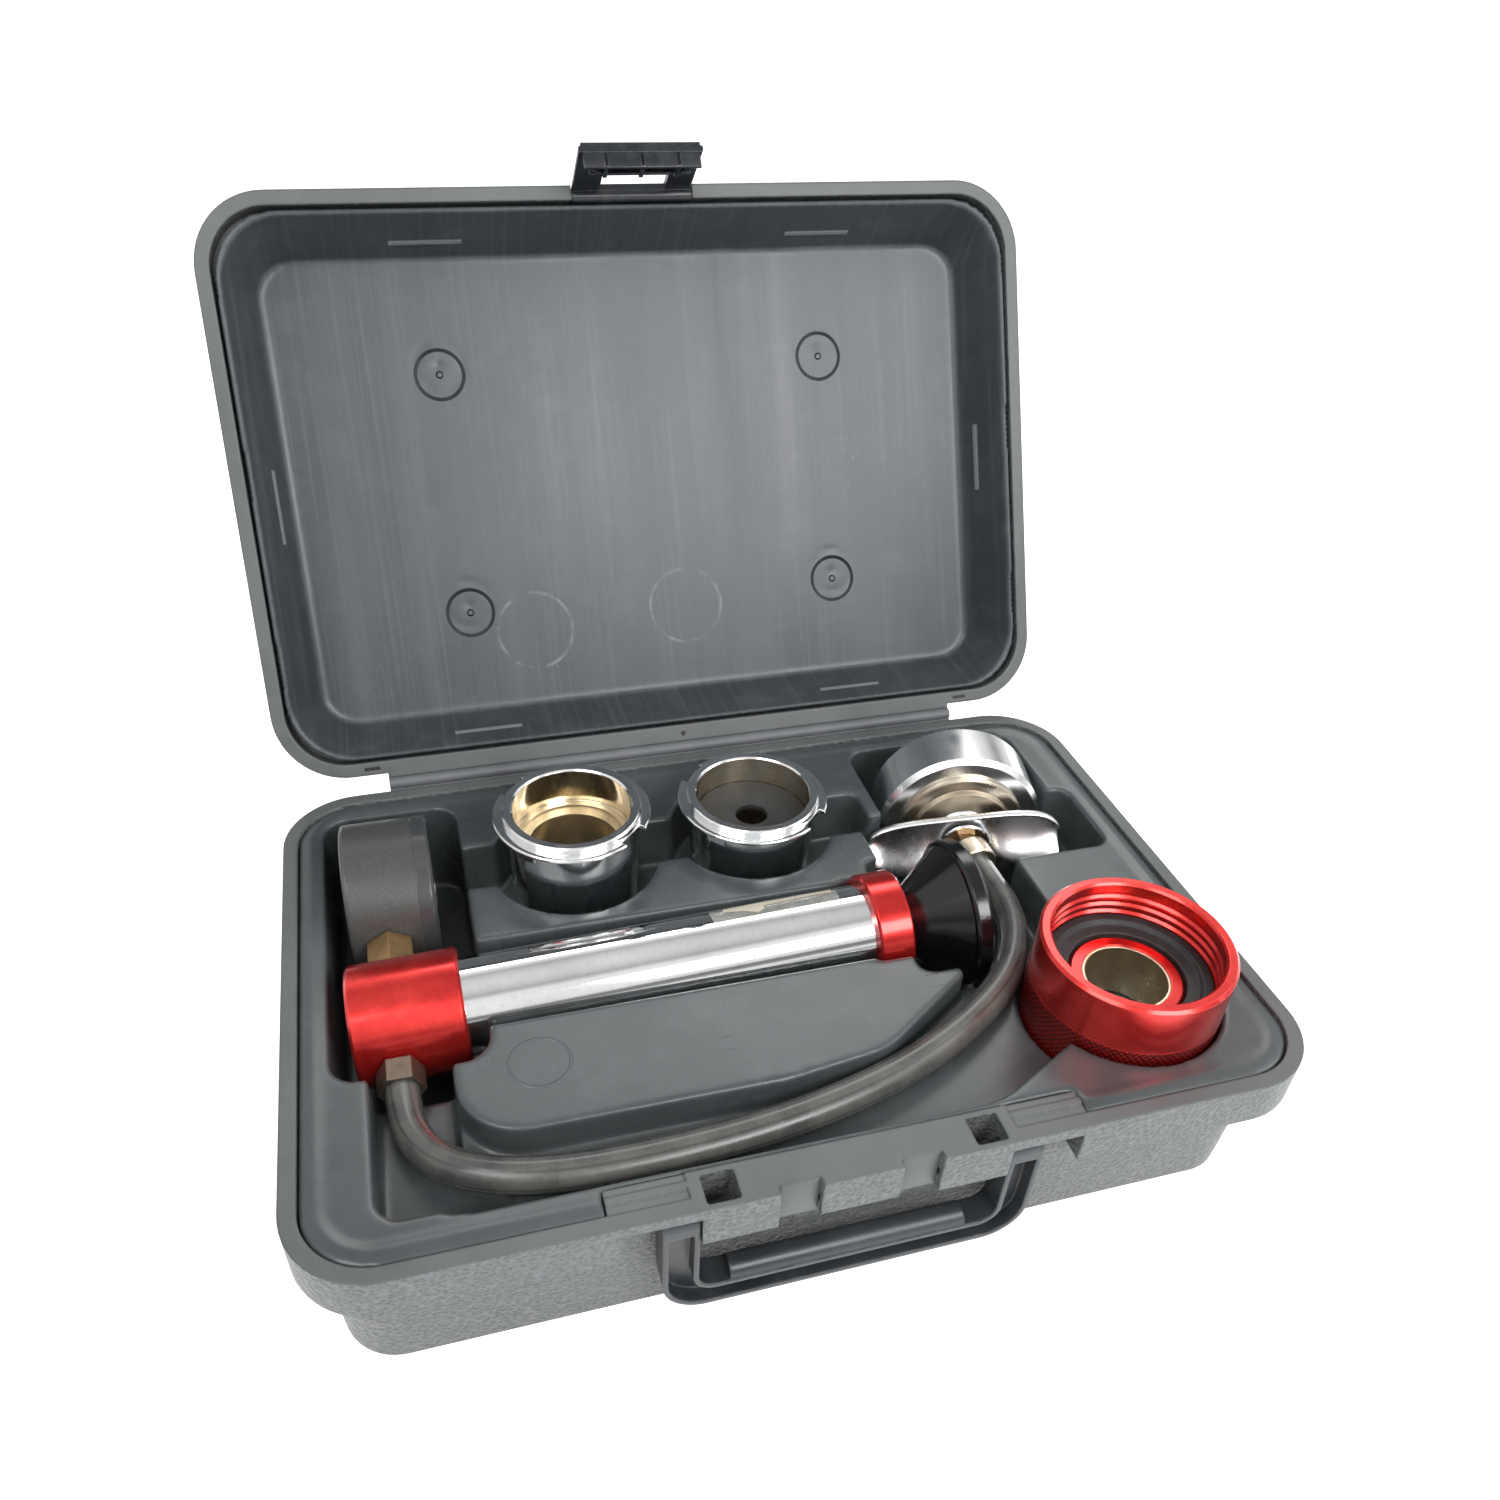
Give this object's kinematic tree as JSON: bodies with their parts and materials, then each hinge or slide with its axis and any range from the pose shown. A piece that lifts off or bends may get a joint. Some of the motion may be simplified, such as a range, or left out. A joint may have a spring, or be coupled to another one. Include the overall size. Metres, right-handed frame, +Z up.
{
  "type": "radiator pressure tester",
  "caption": "Hinged carry case with a hand pump, dial gauge, hose, cap head and screw-on neck adapters, each in its own moulded pocket, for testing a cooling system.",
  "frame": {"origin": "on the floor under the middle of the case's base", "axes": "+X to the right of someone who faces the latch, +Y towards the hinge, +Z up; the lid is stored open"},
  "size_m": [0.32, 0.3362, 0.2732],
  "materials": {
    "case_plastic": "leather grain, satin",
    "tray_plastic": "smooth satin",
    "hinge_plastic": "rubbed pale",
    "handle_plastic": "satin",
    "liner_plastic": "smooth satin, scuffed",
    "steel": "bright",
    "red_metal": "red anodised",
    "barrel_chrome": "polished",
    "fitting_brass": "machined",
    "black_rubber": "matt",
    "knob_plastic": "satin",
    "gauge_black": "fine wrinkle",
    "clear_lens": "clear",
    "dial_white": "matt",
    "pointer_red": "matt",
    "dull_nickel": "dull",
    "hose_rubber": "ridged, dusty",
    "plated_chrome": "polished, rubbed"
  },
  "bodies": {
    "case": {"base_shell": "case_plastic", "base_tray": "tray_plastic", "hinge_rod": "hinge_plastic"},
    "carry_handle": {"handle": "handle_plastic"},
    "lid": {"lid_shell": "case_plastic", "lid_liner": "liner_plastic", "latch_pin": "steel"},
    "latch_flap": {"latch": "handle_plastic"},
    "kit": {"pump_head": "red_metal", "pump_barrel": "barrel_chrome", "pump_collar": "red_metal", "gauge_case": "gauge_black", "gauge_bezel": "gauge_black", "gauge_lens": "clear_lens", "gauge_dial": "dial_white", "gauge_movement": "fitting_brass", "gauge_stem": "fitting_brass", "hose_nipple": "fitting_brass", "hose_nut": "fitting_brass", "hose_ferrule": "dull_nickel", "hose": "hose_rubber", "cap_skirt": "plated_chrome", "cap_seal": "black_rubber", "cap_disc": "dull_nickel", "cap_spring": "steel", "cap_stem": "fitting_brass", "cap_lever": "plated_chrome"},
    "plunger": {"plunger_rod": "steel", "piston": "fitting_brass", "piston_seal": "black_rubber", "pump_knob": "knob_plastic"},
    "pointer": {"gauge_pointer": "pointer_red"},
    "adapter_a": {"neck_adapter_a": "plated_chrome", "neck_seat_a": "fitting_brass"},
    "adapter_b": {"neck_adapter_b": "plated_chrome", "neck_seat_b": "fitting_brass", "neck_washer_b": "black_rubber"},
    "threaded_adapter": {"red_adapter": "red_metal", "red_gasket": "black_rubber", "red_sleeve": "fitting_brass"}
  },
  "joints": [
    {"name": "lid_hinge", "type": "hinge", "parent": "case", "child": "lid", "pos_m": [0, 0.1106, 0.0616], "axis": [-1, 0, 0], "range_deg": [-116.2, 0]},
    {"name": "latch_hinge", "type": "hinge", "parent": "lid", "child": "latch_flap", "pos_m": [0, 0.20702, 0.25211], "axis": [-1, 0, 0], "range_deg": [-14.5, 70]},
    {"name": "handle_pivot", "type": "hinge", "parent": "case", "child": "carry_handle", "pos_m": [0, -0.101, 0.0518], "axis": [-1, 0, 0], "range_deg": [0, 90]},
    {"name": "kit_lift", "type": "slide", "parent": "case", "child": "kit", "axis": [0, 0, 1], "range_m": [0, 0.08]},
    {"name": "plunger_slide", "type": "slide", "parent": "kit", "child": "plunger", "axis": [0.9995, 0, 0.0332], "range_m": [0, 0.002]},
    {"name": "pointer_turn", "type": "hinge", "parent": "kit", "child": "pointer", "pos_m": [-0.1167, 0.0577, 0.04939], "axis": [1, 0, 0], "range_deg": [-270, 0]},
    {"name": "adapter_a_lift", "type": "slide", "parent": "case", "child": "adapter_a", "axis": [0, 0, 1], "range_m": [0, 0.06]},
    {"name": "adapter_b_lift", "type": "slide", "parent": "case", "child": "adapter_b", "axis": [0, 0, 1], "range_m": [0, 0.06]},
    {"name": "red_lift", "type": "slide", "parent": "case", "child": "threaded_adapter", "axis": [0, 0, 1], "range_m": [0, 0.06]}
  ]
}
